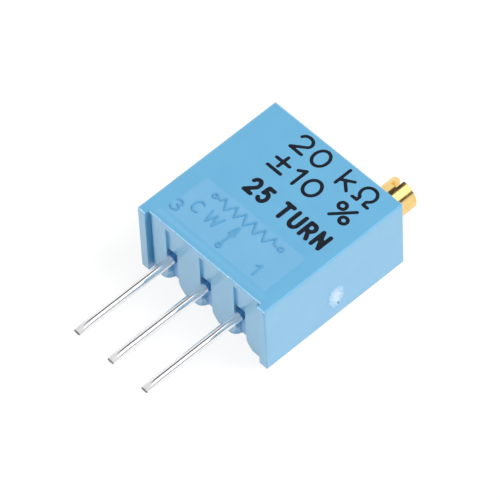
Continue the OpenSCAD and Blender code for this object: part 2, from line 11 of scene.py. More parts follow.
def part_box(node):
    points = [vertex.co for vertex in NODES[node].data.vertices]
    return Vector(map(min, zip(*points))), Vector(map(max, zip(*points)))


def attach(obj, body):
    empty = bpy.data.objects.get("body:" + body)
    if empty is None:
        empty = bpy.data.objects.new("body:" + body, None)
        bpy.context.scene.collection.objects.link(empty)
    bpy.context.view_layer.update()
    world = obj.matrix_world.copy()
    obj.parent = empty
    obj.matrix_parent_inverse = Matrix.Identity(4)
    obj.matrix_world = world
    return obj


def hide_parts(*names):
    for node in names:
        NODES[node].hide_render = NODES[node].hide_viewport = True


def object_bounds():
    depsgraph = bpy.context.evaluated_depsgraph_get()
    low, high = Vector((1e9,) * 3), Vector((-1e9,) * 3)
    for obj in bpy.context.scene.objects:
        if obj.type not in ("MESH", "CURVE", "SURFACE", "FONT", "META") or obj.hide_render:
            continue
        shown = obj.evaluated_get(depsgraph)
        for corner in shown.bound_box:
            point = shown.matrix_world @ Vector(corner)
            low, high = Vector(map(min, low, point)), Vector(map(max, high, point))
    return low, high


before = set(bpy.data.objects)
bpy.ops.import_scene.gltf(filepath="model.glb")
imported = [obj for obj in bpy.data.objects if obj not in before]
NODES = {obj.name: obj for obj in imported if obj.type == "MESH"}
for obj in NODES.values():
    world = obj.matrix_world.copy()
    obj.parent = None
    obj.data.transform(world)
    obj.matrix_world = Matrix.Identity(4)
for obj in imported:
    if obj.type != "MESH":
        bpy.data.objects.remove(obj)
cad_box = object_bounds()

MM = 0.001  # the pieces are drawn in millimetres, and set down in the frame's metres
NEAR = 0.002  # how near two places count as one

TOP_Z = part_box("housing")[1].z / MM          # printed face of the housing
FOOT_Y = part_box("housing")[0].y / MM         # plane of the standoff feet
SIDE_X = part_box("housing")[1].x / MM         # wide side wall of the housing
WALL_Y = FOOT_Y + 0.27                       # the wall between the feet that the pins come out of
FLOOR_Z = cad_box[0].z / MM                  # what the part lies on

PANEL_SIZE = (8.05, 3.55)                    # width and height of the sunken panel
PANEL_Z = TOP_Z - 0.09                       # floor of that panel
PANEL_LOW = 0.6                              # the whole of that floor lies above this
SLOPE = 0.32                                 # how far the panel's walls lean back
CHANNELS_REACH = 3.2                         # the pins' channels lie this close to the middle
CHANNEL_LENGTH = 3                           # and their upright edges are longer than this
CHANNEL_EASE = 0.13                          # how much of those edges is rounded off

ROUND_END = 0.34                             # where each pin's round wire ends, above the feet
PRESS_RUN = 0.14                             # over how far the wire's inner end is pressed flat
PRESS_SHARE = 0.56                           # and how thick it is left
CUT_DEPTH = 0.015                            # how far the bare metal of the cut reaches up a pin

ROUND_ANGLE = math.radians(32)               # faces that meet at less are shaded as one round face
PIN_ROUND_ANGLE = math.radians(30)           # the same for the pins

# The camera's directions, the point it aims at, how far away it stands and the length of its lens.
CAMERA_RIGHT = Vector((0.6869, 0.7260, -0.0328))
CAMERA_UP = Vector((-0.5683, 0.5648, 0.5982))
CAMERA_BACK = Vector((0.4528, -0.3923, 0.8006))
CAMERA_AIM = CAMERA_RIGHT * 2.39157 + CAMERA_UP * 3.42965 + Vector((0, 0, FLOOR_Z))
CAMERA_AWAY = 288.488
CAMERA_LENS = 401.6

FILL = 0.68                                  # how much of the light comes evenly from all round
PAPER = 0.86                                 # how bright the table is
SHADOW = 0.16                                # how strongly the table shows the part's shadow
LAMP_AWAY = 350                              # how far off the lamps hang
# The tent's brightness round the pins: degrees from overhead towards +X, and the level from there on.
TENT = ((-90, 1.0), (-34, 0.07), (3, 1.8), (52, 0.14), (72, 1.0))
TENT_BLUR = 2                                # degrees to either side in which one level runs into the next
TENT_ENDS = (0.08, 0.26)                     # between these slants towards +Y or -Y the stripes fade in


# ---------------------------------------------------------------- nodes

def new_node(tree, kind, settings=()):
    """A node of the given kind, with its sockets set."""
    node = tree.nodes.new(kind)
    for socket, value in dict(settings).items():
        node.inputs[socket].default_value = value
    return node


def between(tree, value, start, end, first=0.0, last=1.0):
    """Runs from first to last while the value runs from start to end."""
    run = new_node(tree, "ShaderNodeMapRange",
                   {"From Min": start, "From Max": end, "To Min": first, "To Max": last})
    tree.links.new(value, run.inputs["Value"])
    return run.outputs["Result"]


def either(tree, first, second):
    """1 where either of the two ray tests holds."""
    test = tree.nodes.new("ShaderNodeMath")
    test.operation = "MAXIMUM"
    tree.links.new(first, test.inputs[0])
    tree.links.new(second, test.inputs[1])
    return test.outputs[0]


def choose(tree, test, where_not, where_so):
    """One shader where the test is 0, and another where it is 1."""
    pick = tree.nodes.new("ShaderNodeMixShader")
    tree.links.new(test, pick.inputs["Fac"])
    tree.links.new(where_not, pick.inputs[1])
    tree.links.new(where_so, pick.inputs[2])
    return pick.outputs[0]


# ---------------------------------------------------------------- camera, floor and light

def set_camera():
    """A long lens from above the pin side, level with the fall of the pins."""
    place = (CAMERA_AIM + CAMERA_BACK * CAMERA_AWAY) * MM
    turned = Matrix((CAMERA_RIGHT, CAMERA_UP, CAMERA_BACK)).transposed()
    camera = bpy.data.objects.new("camera", bpy.data.cameras.new("camera"))
    camera.matrix_world = Matrix.Translation(place) @ turned.to_4x4()
    camera.data.sensor_width = 36
    camera.data.lens = CAMERA_LENS
    camera.data.clip_start = 0.01
    camera.data.clip_end = 10
    bpy.context.scene.collection.objects.link(camera)
    bpy.context.scene.camera = camera


def set_floor():
    """A white table that keeps a faint shadow of the part, and that metal and plastic mirror as white."""
    bpy.ops.object.select_all(action="DESELECT")
    bpy.ops.mesh.primitive_plane_add(size=1.2, location=(0, 0, FLOOR_Z * MM))
    floor = bpy.context.object
    floor.name = "table"
    material = bpy.data.materials.new("white_table")
    material.use_nodes = True
    tree = material.node_tree
    tree.nodes.clear()
    rays = tree.nodes.new("ShaderNodeLightPath").outputs
    paper = new_node(tree, "ShaderNodeBsdfDiffuse", {"Color": (PAPER, PAPER, PAPER, 1)})
    faint = new_node(tree, "ShaderNodeBsdfDiffuse", {"Color": (SHADOW, SHADOW, SHADOW, 1)})
    glow = new_node(tree, "ShaderNodeEmission", {"Strength": PAPER})
    seen = tree.nodes.new("ShaderNodeAddShader")
    tree.links.new(faint.outputs[0], seen.inputs[0])
    tree.links.new(glow.outputs[0], seen.inputs[1])
    mirrored = either(tree, rays["Is Glossy Ray"], rays["Is Transmission Ray"])
    looked_at = either(tree, rays["Is Camera Ray"], mirrored)
    out = tree.nodes.new("ShaderNodeOutputMaterial")
    tree.links.new(choose(tree, looked_at, paper.outputs[0], seen.outputs[0]), out.inputs["Surface"])
    floor.data.materials.append(material)


def tent_stripes(tree, way, brightest):
    """The tent's levels as shares of its brightest, by the angle round the pins' direction."""
    lean = tree.nodes.new("ShaderNodeMath")
    lean.operation = "ARCTAN2"
    tree.links.new(way.outputs["X"], lean.inputs[0])
    tree.links.new(way.outputs["Z"], lean.inputs[1])
    ramp = tree.nodes.new("ShaderNodeValToRGB")
    tree.links.new(between(tree, lean.outputs[0], math.radians(-90), math.radians(90)), ramp.inputs["Fac"])
    steps = []
    for (angle, level), (_, last) in zip(TENT[1:], TENT):
        steps += [(angle - TENT_BLUR, last), (angle + TENT_BLUR, level)]
    stops = ramp.color_ramp.elements
    for number, (angle, level) in enumerate(steps):
        place = (angle + 90) / 180
        share = level / brightest
        stop = stops[number] if number < 2 else stops.new(place)
        stop.position = place
        stop.color = (share, share, share, 1)
    return ramp.outputs["Color"]


def set_room():
    """A white tent with two dark gaps at either end, which the bright metal shows as dark lines."""
    world = bpy.data.worlds.new("tent")
    bpy.context.scene.world = world
    world.use_nodes = True
    tree = world.node_tree
    tree.nodes.clear()
    rays = tree.nodes.new("ShaderNodeLightPath").outputs
    way = tree.nodes.new("ShaderNodeSeparateXYZ")
    tree.links.new(tree.nodes.new("ShaderNodeTexCoord").outputs["Generated"], way.inputs[0])
    brightest = max(level for _, level in TENT)
    striped = new_node(tree, "ShaderNodeBackground", {"Strength": brightest})
    tree.links.new(tent_stripes(tree, way, brightest), striped.inputs["Color"])
    plain = tree.nodes.new("ShaderNodeBackground")
    along = tree.nodes.new("ShaderNodeMath")
    along.operation = "ABSOLUTE"
    tree.links.new(way.outputs["Y"], along.inputs[0])
    tent = choose(tree, between(tree, along.outputs[0], *TENT_ENDS), plain.outputs[0], striped.outputs[0])
    fill = new_node(tree, "ShaderNodeBackground", {"Strength": FILL})
    lit = choose(tree, rays["Is Glossy Ray"], fill.outputs[0], tent)
    white = new_node(tree, "ShaderNodeBackground", {"Color": (1, 1, 1, 1)})
    looked_at = either(tree, rays["Is Camera Ray"], rays["Is Transmission Ray"])
    out = tree.nodes.new("ShaderNodeOutputWorld")
    tree.links.new(choose(tree, looked_at, lit, white.outputs[0]), out.inputs["Surface"])


def hang_light(name, way, size, energy, lights=True, mirrored=False):
    """A round, soft light in the given direction, which lights the part, shows in its gloss, or both."""
    lamp = bpy.data.lights.new(name, "AREA")
    lamp.shape = "DISK"
    lamp.size = size
    lamp.energy = energy
    lamp_object = bpy.data.objects.new(name, lamp)
    lamp_object.location = Vector(way).normalized() * LAMP_AWAY * MM
    lamp_object.rotation_euler = lamp_object.location.to_track_quat("Z", "Y").to_euler()
    lamp_object.visible_diffuse = lights
    lamp_object.visible_glossy = mirrored
    bpy.context.scene.collection.objects.link(lamp_object)


set_camera()
set_floor()
set_room()
hang_light("key_light", (0.404, 0.386, 0.829), 0.16, 0.82)
hang_light("front_light", (0.40, -0.84, 0.36), 0.20, 0.24)
hang_light("edge_light", (-0.45, -0.80, 0.39), 0.16, 0.40, lights=False, mirrored=True)
bpy.context.scene.view_settings.view_transform = "Standard"


# ---------------------------------------------------------------- finishes

def new_finish(name, roughness, metallic=0.0):
    """A material whose shader has the given roughness, and is metal to the given share."""
    material = bpy.data.materials.new(name)
    material.use_nodes = True
    shader = material.node_tree.nodes["Principled BSDF"]
    shader.inputs["Roughness"].default_value = roughness
    shader.inputs["Metallic"].default_value = metallic
    return material


def feed(material, value, socket):
    """Links a value to the material's shader."""
    material.node_tree.links.new(value, material.node_tree.nodes["Principled BSDF"].inputs[socket])


def spot(material):
    """The place of each point on the piece, which all patterns start from."""
    return material.node_tree.nodes.new("ShaderNodeTexCoord").outputs["Object"]


def grain(material, size_mm, detail=2.0, stretch=(1, 1, 1)):
    """Noise whose grains are about size_mm across, drawn out along the axes by stretch."""
    tree = material.node_tree
    mapping = new_node(tree, "ShaderNodeMapping", {"Scale": [1 / s for s in stretch]})
    tree.links.new(spot(material), mapping.inputs["Vector"])
    noise = new_node(tree, "ShaderNodeTexNoise", {"Scale": 1 / (size_mm * MM), "Detail": detail})
    tree.links.new(mapping.outputs["Vector"], noise.inputs["Vector"])
    return noise.outputs["Fac"]


def height(material, from_mm, to_mm, first=0.0, last=1.0):
    """Runs from first to last between two heights above the feet."""
    tree = material.node_tree
    split = tree.nodes.new("ShaderNodeSeparateXYZ")
    tree.links.new(spot(material), split.inputs[0])
    return between(tree, split.outputs["Y"], from_mm * MM, to_mm * MM, first, last)


def tint(material, pattern, dark, light, spread=0.2):
    """The colour runs from dark to light with the pattern."""
    tree = material.node_tree
    ramp = tree.nodes.new("ShaderNodeValToRGB")
    ramp.color_ramp.elements[0].position = 0.5 - spread
    ramp.color_ramp.elements[1].position = 0.5 + spread
    ramp.color_ramp.elements[0].color = (*dark, 1)
    ramp.color_ramp.elements[1].color = (*light, 1)
    tree.links.new(pattern, ramp.inputs["Fac"])
    feed(material, ramp.outputs["Color"], "Base Color")


def dull(material, pattern, smooth, rough):
    """The roughness runs from smooth to rough with the pattern."""
    feed(material, between(material.node_tree, pattern, 0.3, 0.7, smooth, rough), "Roughness")


def rough_up(material, pattern, height_mm):
    """Bumps as high as height_mm, from the pattern."""
    tree = material.node_tree
    bump = new_node(tree, "ShaderNodeBump", {"Distance": height_mm * MM, "Strength": 1.0})
    tree.links.new(pattern, bump.inputs["Height"])
    feed(material, bump.outputs["Normal"], "Normal")


def glossy_skin(material, roughness):
    """The smooth skin that a polished mould leaves on the plastic."""
    shader = material.node_tree.nodes["Principled BSDF"]
    shader.inputs["IOR"].default_value = 1.6
    shader.inputs["Coat Weight"].default_value = 0.8
    shader.inputs["Coat IOR"].default_value = 1.6
    shader.inputs["Coat Roughness"].default_value = roughness


def blue_moulding():
    """Sky-blue moulded plastic with a smooth, glossy skin over a body that scatters light."""
    finish = new_finish("blue_moulding", 0.32)
    glossy_skin(finish, 0.08)
    tint(finish, grain(finish, 2.2, 3.0), (0.132, 0.425, 0.68), (0.146, 0.447, 0.70))
    dull(finish, grain(finish, 0.5), 0.28, 0.36)
    rough_up(finish, grain(finish, 0.35), 0.0012)
    return finish


def panel_blue():
    """The same plastic where the mould was polished finer, so it looks a shade lighter."""
    finish = new_finish("panel_blue", 0.24)
    glossy_skin(finish, 0.06)
    tint(finish, grain(finish, 2.2, 3.0), (0.178, 0.455, 0.71), (0.194, 0.478, 0.735))
    rough_up(finish, grain(finish, 0.35), 0.0012)
    return finish


def relief_blue_painted_shade():
    """The plastic of the raised marks, painted a shade deeper than the panel they stand on: painted shade for
    their flanks.
    """
    finish = new_finish("relief_blue_painted_shade", 0.34)
    # painted shade: the marks are coloured darker than the panel to stand in for the shade along their flanks
    tint(finish, grain(finish, 0.5, 3.0), (0.085, 0.325, 0.56), (0.105, 0.355, 0.60))
    rough_up(finish, grain(finish, 0.2), 0.0015)
    return finish


def epoxy_painted_shade():
    """Cast epoxy: pale blue higher up, deep blue low down round each pin, where the resin climbed thicker and
    where painted shade stands in for the shadow of the hole at each pin's root.
    """
    finish = new_finish("epoxy_painted_shade", 0.12)
    # painted shade: darker towards the pins' roots, for the shadow in the holes as well as the thicker resin
    tint(finish, height(finish, 0.40, 0.72), (0.05, 0.21, 0.48), (0.20, 0.45, 0.74), 0.3)
    dull(finish, grain(finish, 0.3), 0.08, 0.2)
    rough_up(finish, grain(finish, 0.7), 0.03)
    return finish


def turned_brass():
    """Bright brass with the fine rings that the lathe left round the screw's axis."""
    finish = new_finish("turned_brass", 0.18, 1.0)
    tint(finish, grain(finish, 0.4), (0.88, 0.60, 0.21), (0.95, 0.69, 0.28))
    dull(finish, grain(finish, 0.25), 0.12, 0.22)
    rough_up(finish, grain(finish, 0.05, 1.0, (40, 1, 40)), 0.0004)
    return finish


def seal_rubber():
    """Black rubber of the O-ring."""
    finish = new_finish("seal_rubber", 0.6)
    tint(finish, grain(finish, 0.3), (0.018, 0.018, 0.02), (0.035, 0.035, 0.037))
    rough_up(finish, grain(finish, 0.04), 0.003)
    return finish


def spring_steel():
    """Rolled steel of the retainer."""
    finish = new_finish("spring_steel", 0.3, 1.0)
    tint(finish, grain(finish, 0.3), (0.50, 0.50, 0.51), (0.64, 0.64, 0.66))
    rough_up(finish, grain(finish, 0.03, 1.0, (1, 20, 1)), 0.001)
    return finish


def gear_plastic():
    """Cream plastic of the gear."""
    finish = new_finish("gear_plastic", 0.42)
    tint(finish, grain(finish, 0.8), (0.80, 0.77, 0.66), (0.86, 0.84, 0.75))
    rough_up(finish, grain(finish, 0.05), 0.002)
    return finish


def wiper_alloy():
    """Pale gold spring strip of the wiper."""
    finish = new_finish("wiper_alloy", 0.22, 1.0)
    tint(finish, grain(finish, 0.4), (0.76, 0.58, 0.28), (0.86, 0.70, 0.40))
    rough_up(finish, grain(finish, 0.02, 1.0, (1, 30, 1)), 0.001)
    return finish


def fired_alumina():
    """White ceramic with the fine grain of firing."""
    finish = new_finish("fired_alumina", 0.55)
    tint(finish, grain(finish, 0.15), (0.86, 0.86, 0.83), (0.93, 0.93, 0.90))
    rough_up(finish, grain(finish, 0.03), 0.004)
    return finish


def cermet_film():
    """Dark printed film of the resistive track."""
    finish = new_finish("cermet_film", 0.5)
    tint(finish, grain(finish, 0.06), (0.03, 0.03, 0.032), (0.075, 0.075, 0.08))
    rough_up(finish, grain(finish, 0.03), 0.003)
    return finish


def silver_film():
    """Printed silver of the pads and the collector."""
    finish = new_finish("silver_film", 0.35, 1.0)
    tint(finish, grain(finish, 0.08), (0.60, 0.59, 0.56), (0.76, 0.75, 0.72))
    rough_up(finish, grain(finish, 0.03), 0.003)
    return finish


def tinned_wire():
    """Bright tin over the faint lines of the drawn wire; towards the wall it is made less of a mirror so it
    shows whiter, painted light in place of the blue wall's reflection near the pins' roots.
    """
    finish = new_finish("tinned_wire", 0.06, 0.9)
    tint(finish, grain(finish, 0.3, 2.0, (1, 8, 1)), (0.82, 0.82, 0.84), (0.95, 0.95, 0.96))
    dull(finish, grain(finish, 0.15, 2.0, (1, 12, 1)), 0.04, 0.08)
    rough_up(finish, grain(finish, 0.12, 2.0, (1, 25, 1)), 0.0005)
    # painted light: the tin is less metal near the wall, so the roots show whiter than the blue wall they
    # would mirror
    feed(finish, height(finish, -1.5, -0.2, 0.9, 0.55), "Metallic")
    return finish


def sheared_wire():
    """The dull grey face that the cutter leaves on a pin's end."""
    finish = new_finish("sheared_wire", 0.5, 1.0)
    tint(finish, grain(finish, 0.06, 3.0, (4, 1, 1)), (0.10, 0.10, 0.10), (0.26, 0.25, 0.24))
    rough_up(finish, grain(finish, 0.04), 0.006)
    return finish


def soft_solder():
    """Solder that set a little uneven."""
    finish = new_finish("soft_solder", 0.28, 1.0)
    tint(finish, grain(finish, 0.15), (0.56, 0.56, 0.57), (0.74, 0.74, 0.75))
    rough_up(finish, grain(finish, 0.12), 0.006)
    return finish


def torn_plastic(middle, reach):
    """The moulding's blue, whitened in blotches where it was torn, and fading out at the edge of the tear."""
    finish = new_finish("torn_plastic", 0.45)
    tree = finish.node_tree
    near = new_node(tree, "ShaderNodeMapping", {"Scale": [1 / (r * MM) for r in reach],
                                                "Location": [-m / r for m, r in zip(middle, reach)]})
    tree.links.new(spot(finish), near.inputs["Vector"])
    away = tree.nodes.new("ShaderNodeVectorMath")
    away.operation = "LENGTH"
    tree.links.new(near.outputs["Vector"], away.inputs[0])
    blotch = tree.nodes.new("ShaderNodeMath")
    blotch.operation = "MULTIPLY_ADD"
    tree.links.new(grain(finish, 0.16, 5.0), blotch.inputs[0])
    blotch.inputs[1].default_value = 1.5
    tree.links.new(between(tree, away.outputs["Value"], 1.0, 0.25, -0.6, 0.1), blotch.inputs[2])
    tint(finish, blotch.outputs[0], (0.20, 0.50, 0.76), (0.66, 0.78, 0.91), 0.4)
    rough_up(finish, grain(finish, 0.06, 3.0), 0.006)
    return finish


def pit_shade_blue():
    """Dark blue of the pit and the nick in the gate scar: painted shade for those hollows."""
    finish = new_finish("pit_shade_blue", 0.6)
    # painted shade: a dark blue standing in for the shade inside the scar's pit and nick
    tint(finish, grain(finish, 0.05, 3.0), (0.05, 0.16, 0.26), (0.12, 0.30, 0.45))
    rough_up(finish, grain(finish, 0.04), 0.004)
    return finish


def pale_burr_blue():
    """A pale, whitish blue for the small burr on the lip."""
    finish = new_finish("pale_burr_blue", 0.4)
    tint(finish, grain(finish, 0.06, 3.0), (0.42, 0.70, 0.86), (0.66, 0.84, 0.94))
    rough_up(finish, grain(finish, 0.04), 0.003)
    return finish


def printing_ink():
    """Black stamped ink, a little thin where it did not take."""
    finish = new_finish("printing_ink", 0.6)
    finish.node_tree.nodes["Principled BSDF"].inputs["Specular IOR Level"].default_value = 0.15
    tint(finish, grain(finish, 0.07, 3.0), (0.004, 0.005, 0.009), (0.014, 0.018, 0.03))
    rough_up(finish, grain(finish, 0.05), 0.004)
    return finish


BLUE = blue_moulding()
TINNED = tinned_wire()
SHEARED = sheared_wire()
INK = printing_ink()
BRASS = turned_brass()
SILVER = silver_film()
SOLDER = soft_solder()
FINISHES = {
    "housing": BLUE, "back_seal": epoxy_painted_shade(), "adjustment_screw": BRASS, "o_ring": seal_rubber(),
    "screw_retainer": spring_steel(), "rotor_gear": gear_plastic(), "wiper_contact": wiper_alloy(),
    "ceramic_substrate": fired_alumina(), "resistive_track": cermet_film(), "collector_track": SILVER,
    "end_pad_1": SILVER, "end_pad_3": SILVER,
}
for number in (1, 2, 3):
    FINISHES[f"pin_{number}"] = TINNED
    FINISHES[f"solder_{number}"] = SOLDER
for name, node in NODES.items():
    node.data.materials.clear()
    node.data.materials.append(FINISHES[name])


# ---------------------------------------------------------------- tools of the bench

def only(piece):
    """Selects one piece and nothing else."""
    bpy.ops.object.select_all(action="DESELECT")
    piece.select_set(True)
    bpy.context.view_layer.objects.active = piece


def pick_faces(piece, test):
    """In edit mode, selects the faces whose middle passes the test."""
    bpy.ops.mesh.select_mode(type="FACE")
    bpy.ops.mesh.select_all(action="DESELECT")
    mesh = bmesh.from_edit_mesh(piece.data)
    for face in mesh.faces:
        face.select = test(face.calc_center_median())
    mesh.select_flush_mode()
    bmesh.update_edit_mesh(piece.data)


def set_down(piece, name, finishes):
    """Brings a piece drawn in millimetres to metres, gives it its finishes and fixes it to the housing."""
    only(piece)
    piece.location *= MM
    piece.scale *= MM
    bpy.ops.object.transform_apply(location=True, rotation=True, scale=True)
    piece.name = piece.data.name = name
    piece.data.materials.clear()
    for finish in finishes:
        piece.data.materials.append(finish)
    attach(piece, "housing")


def even_out(piece):
    """Shades round faces as round, and keeps the flat faces beside them flat."""
    bpy.ops.object.shade_smooth_by_angle(angle=ROUND_ANGLE)
    flats = piece.modifiers.new("keep_flats_flat", "WEIGHTED_NORMAL")
    flats.keep_sharp = True
    flats.weight = 50
    bpy.ops.object.modifier_apply(modifier=flats.name)


def polished_copy(node, name, body, finish):
    """A copy of a solid with its loose triangles joined into whole faces."""
    piece = NODES[node].copy()
    piece.data = NODES[node].data.copy()
    bpy.context.scene.collection.objects.link(piece)
    piece.parent = None
    piece.name = piece.data.name = name
    only(piece)
    bpy.ops.mesh.customdata_custom_splitnormals_clear()
    bpy.ops.object.mode_set(mode="EDIT")
    bpy.ops.mesh.select_all(action="SELECT")
    bpy.ops.mesh.remove_doubles(threshold=NEAR / 10 * MM)
    bpy.ops.mesh.dissolve_limited(angle_limit=math.radians(0.5))
    bpy.ops.object.mode_set(mode="OBJECT")
    piece.data.materials.clear()
    piece.data.materials.append(finish)
    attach(piece, body)
    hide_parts(node)
    return piece


# ---------------------------------------------------------------- housing, screw and pins

def lean_panel_walls(housing):
    """Draws the panel's floor in, so that its walls lean back, and gives that floor its own blue."""
    pick_faces(housing, lambda place: abs(place.z / MM - PANEL_Z) < NEAR and place.y / MM > PANEL_LOW)
    bpy.ops.transform.resize(value=(1 - 2 * SLOPE / PANEL_SIZE[0], 1 - 2 * SLOPE / PANEL_SIZE[1], 1))
    bpy.ops.object.material_slot_assign()


def ease_channel_edges(housing):
    """Rounds off the upright edges of the channels above the pins."""
    bpy.ops.mesh.select_mode(type="EDGE")
    bpy.ops.mesh.select_all(action="DESELECT")
    mesh = bmesh.from_edit_mesh(housing.data)
    for edge in mesh.edges:
        first, last = (vertex.co / MM for vertex in edge.verts)
        upright = abs(first.x - last.x) < NEAR and abs(first.y - last.y) < NEAR
        on_wall = abs(first.y - WALL_Y) < 2 * NEAR and abs(first.x) < CHANNELS_REACH
        edge.select = upright and on_wall and abs(first.z - last.z) > CHANNEL_LENGTH
    bmesh.update_edit_mesh(housing.data)
    bpy.ops.mesh.bevel(offset=CHANNEL_EASE * MM, segments=4)


def make_housing():
    """The moulding, with soft borders round its sunken panel and soft edges on its channels."""
    housing = polished_copy("housing", "housing_moulding", "housing", BLUE)
    housing.data.materials.append(panel_blue())
    housing.active_material_index = 1
    for step in (lean_panel_walls, ease_channel_edges):
        only(housing)
        bpy.ops.object.mode_set(mode="EDIT")
        step(housing)
        bpy.ops.object.mode_set(mode="OBJECT")
    even_out(housing)


def make_screw():
    """The turned screw, with its round faces shaded as round."""
    polished_copy("adjustment_screw", "turned_screw", "screw", BRASS)
    bpy.ops.object.shade_smooth_by_angle(angle=ROUND_ANGLE)


# How far from the end each ring of a pin's tip lies, and how much narrower and thinner the next ring is.
TIP = ((0.95, 0.99, 0.90), (0.55, 0.97, 0.80), (0.25, 0.95, 0.66), (0.02, 0.92, 0.82))


def model_pin():
    """One pin, mid-row: round wire, nipped to a blunt edge at its tip and pressed flat at its inner end."""
    low, high = (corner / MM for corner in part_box("pin_2"))
    radius = high.z
    bpy.ops.object.select_all(action="DESELECT")
    bpy.ops.mesh.primitive_cylinder_add(vertices=64, radius=radius, depth=ROUND_END - low.y,
                                        location=(0, (ROUND_END + low.y) / 2, 0),
                                        rotation=(math.radians(90), 0, 0))
    pin = bpy.context.object
    bpy.ops.object.transform_apply(location=True, rotation=True, scale=True)
    bpy.ops.object.mode_set(mode="EDIT")
    pick_faces(pin, lambda place: place.y > ROUND_END - NEAR)
    inner_end = ((PRESS_RUN, high.x / radius, PRESS_SHARE), (high.y - ROUND_END - PRESS_RUN, 1, 1))
    for station, wide, thick in inner_end:
        bpy.ops.mesh.extrude_region_move(TRANSFORM_OT_translate={"value": (0, station, 0)})
        bpy.ops.transform.resize(value=(wide, 1, thick))
    for station, wide, thick in TIP:
        pick_faces(pin, lambda place: place.y < low.y + NEAR)
        bpy.ops.transform.translate(value=(0, station, 0))
        bpy.ops.mesh.extrude_region_move(TRANSFORM_OT_translate={"value": (0, -station, 0)})
        bpy.ops.transform.resize(value=(wide, 1, thick))
    bpy.ops.object.mode_set(mode="OBJECT")
    bpy.ops.object.shade_smooth_by_angle(angle=PIN_ROUND_ANGLE)
    return pin


def set_pin(modelled, number):
    """A copy of the modelled pin in its own place in the row, with the bare metal of the cut at its end."""
    pin = modelled.copy()
    pin.data = modelled.data.copy()
    bpy.context.scene.collection.objects.link(pin)
    low, high = (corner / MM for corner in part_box(f"pin_{number}"))
    pin.location.x = (low.x + high.x) / 2
    set_down(pin, f"pin_wire_{number}", (TINNED, SHEARED))
    for face in pin.data.polygons:
        face.material_index = int(face.center.y / MM < low.y + CUT_DEPTH)
    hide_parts(f"pin_{number}")


def make_pins():
    """The row of three pins."""
    modelled = model_pin()
    for number in (1, 2, 3):
        set_pin(modelled, number)
    bpy.data.objects.remove(modelled)


make_housing()
make_screw()
make_pins()


# ---------------------------------------------------------------- raised and printed marks

MARKS_SHIFT = (-0.07, 0.03)                  # where the raised marks' middle lies
MARKS_STROKE = 0.13                          # width of their strokes
MARKS_RISE = 0.07                            # how far they stand proud of the panel
MARKS_GRID = 0.02                            # how finely they are melted together
POINT_R = 0.14                               # radius of the resistor sign's end points
INK_RISE = 0.008                             # thickness of the ink
INK_GRID = 0.025                             # how finely its strokes are melted together
GAP = 0.34                                   # common gap between two signs, in cells one high
BLANK = 0.2                                  # width of a blank, in the same measure
# Each line of print: its name, its text, its box (left, right, low, high), its stroke and its gap.
PRINT = (
    ("printed_value", "20 k\u03a9", (-2.2, 3.75, 8.25, 9.55), 0.2, GAP),
    ("printed_tolerance", "\u00b110 %", (-2.15, 3.72, 6.6, 7.9), 0.21, GAP),
    ("printed_turns", "25 TURN", (-1.9, 3.85, 4.62, 5.82), 0.26, 0.52),
)


def arc(middle, radii, start, end, step=16):
    """Points along part of an ellipse, from the start angle to the end angle in degrees."""
    count = max(2, round(abs(end - start) / step))
    angles = [math.radians(start + (end - start) * i / count) for i in range(count + 1)]
    return [(middle[0] + radii[0] * math.cos(a), middle[1] + radii[1] * math.sin(a)) for a in angles]


# Each sign is a list of lines, in a cell one high whose width comes first.
SIGNS = {
    "0": (0.68, [arc((0.34, 0.5), (0.34, 0.5), 0, 360)]),
    "1": (0.30, [[(0, 0.76), (0.28, 1), (0.28, 0)]]),
    "2": (0.64, [arc((0.32, 0.69), (0.31, 0.31), 165, -35) + [(0, 0), (0.64, 0)]]),
    "3": (0.62, [arc((0.29, 0.75), (0.28, 0.25), 150, -90), arc((0.29, 0.26), (0.32, 0.26), 90, -150)]),
    "5": (0.62, [[(0.56, 1), (0.1, 1), (0.05, 0.56)] + arc((0.29, 0.33), (0.32, 0.33), 130, -145)]),
    "k": (0.60, [[(0, 0), (0, 1)], [(0.54, 0.66), (0, 0.27)], [(0.2, 0.41), (0.6, 0)]]),
    "\u03a9": (0.84, [[(0, 0), (0.24, 0)] + arc((0.42, 0.58), (0.36, 0.42), 240, -60)
                      + [(0.6, 0), (0.84, 0)]]),
    "\u00b1": (0.70, [[(0, 0.6), (0.7, 0.6)], [(0.35, 0.25), (0.35, 0.95)], [(0, 0), (0.7, 0)]]),
    "%": (0.90, [arc((0.19, 0.79), (0.17, 0.2), 0, 360), [(0.1, 0), (0.8, 1)],
                 arc((0.71, 0.21), (0.17, 0.2), 0, 360)]),
    "T": (0.66, [[(0, 1), (0.66, 1)], [(0.33, 1), (0.33, 0)]]),
    "U": (0.66, [[(0, 1), (0, 0.33)] + arc((0.33, 0.33), (0.33, 0.33), 180, 360) + [(0.66, 1)]]),
    "R": (0.64, [[(0, 0), (0, 1), (0.32, 1)] + arc((0.32, 0.74), (0.3, 0.26), 90, -90) + [(0, 0.48)],
                 [(0.3, 0.48), (0.64, 0)]]),
    "N": (0.66, [[(0, 0), (0, 1), (0.66, 0), (0.66, 1)]]),
    "C": (0.84, [arc((0.42, 0.5), (0.42, 0.5), 48, 312)]),
    "W": (1.15, [[(0, 1), (0.27, 0), (0.575, 0.9), (0.88, 0), (1.15, 1)]]),
}


def lettering(text, box, gap=GAP):
    """The lines of a row of signs and gaps, stretched to fill the box (left, right, low, high)."""
    left, right, low, high = box
    signs, reach = [], 0
    for sign in text:
        if sign == " ":
            reach += BLANK + gap
            continue
        width, lines = SIGNS[sign]
        signs.append((reach, lines))
        reach += width + gap
    across = (right - left) / (reach - gap)
    return [[(left + (start + x) * across, low + y * (high - low)) for x, y in line]
            for start, lines in signs for line in lines]


